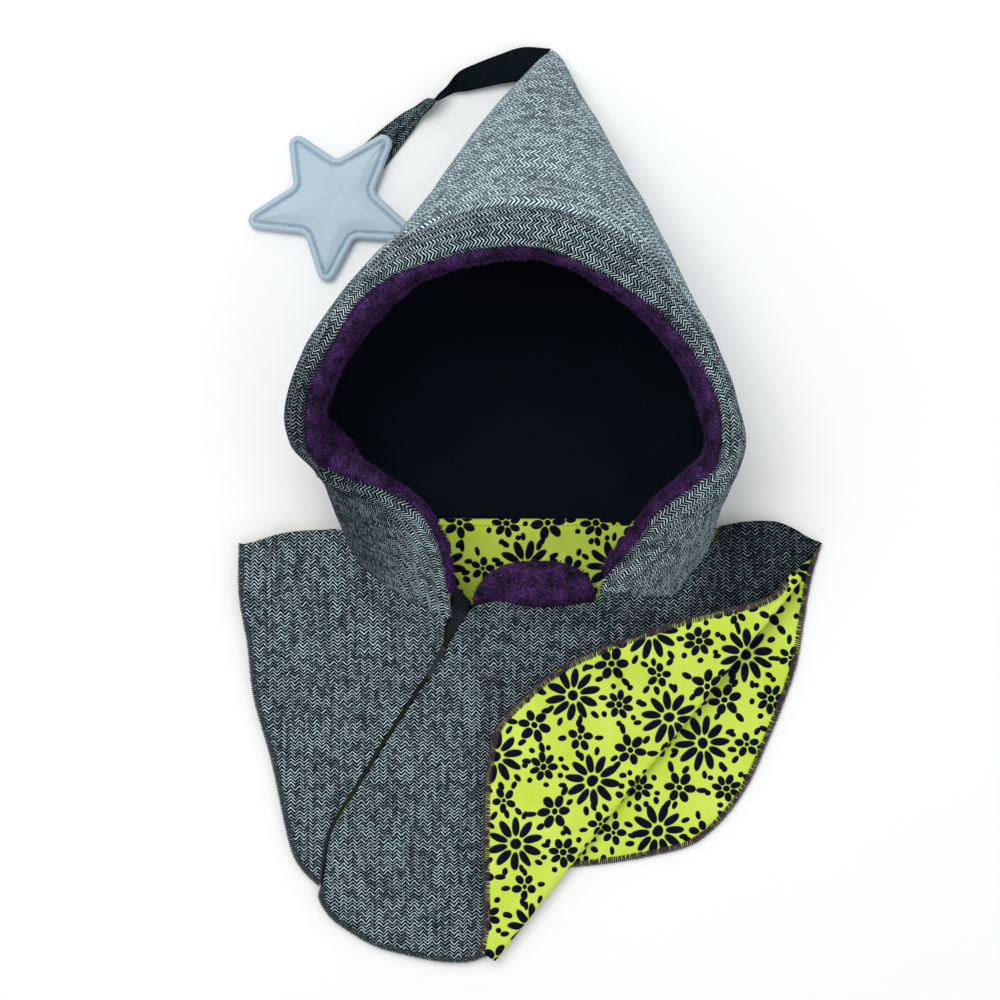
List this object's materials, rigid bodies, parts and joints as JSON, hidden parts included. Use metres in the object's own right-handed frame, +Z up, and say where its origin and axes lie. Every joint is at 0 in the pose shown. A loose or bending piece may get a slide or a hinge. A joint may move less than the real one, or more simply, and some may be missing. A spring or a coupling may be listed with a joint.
{
  "type": "pointed hood with cape",
  "caption": "Child's pointed winter hood with a short zipped cape, plush-lined face opening, printed cape lining and a padded star on a fabric strap at the hood's point, lying flat.",
  "frame": {"origin": "underside of the back cape panel, on the middle line, 10 mm below the back neck seam", "axes": "+Y from the cape towards the hood's point, +Z up out of the table towards the face opening, +X to the wearer's left"},
  "size_m": [0.382, 0.601, 0.1666],
  "materials": {
    "tweed": "matte herringbone",
    "plush": "short pile",
    "dark_lining": "matte",
    "print_lining": "matte printed jersey",
    "zip_tape": "matte",
    "zip_metal": "satin",
    "star_cloth": "silky sheen"
  },
  "bodies": {
    "hood": {"hood_shell": "tweed", "rim_plush": "plush", "hood_lining": "dark_lining", "cape_back": "tweed", "cape_back_lining": "print_lining", "cape_front_left": "tweed", "cape_front_left_lining": "print_lining", "cape_front_right": "tweed", "cape_front_right_lining": "print_lining", "chin_guard": "plush", "zip_tape": "zip_tape", "zip_slider": "zip_metal", "strap": "tweed", "star": "star_cloth"},
    "pull": {"zip_pull": "zip_metal"}
  },
  "joints": [
    {"name": "zip_pull_hinge", "type": "hinge", "parent": "hood", "child": "pull", "pos_m": [-0.05748, -0.07643, 0.02593], "axis": [-0.8639, 0.5035, 0.0137], "range_deg": [0, 150]}
  ]
}
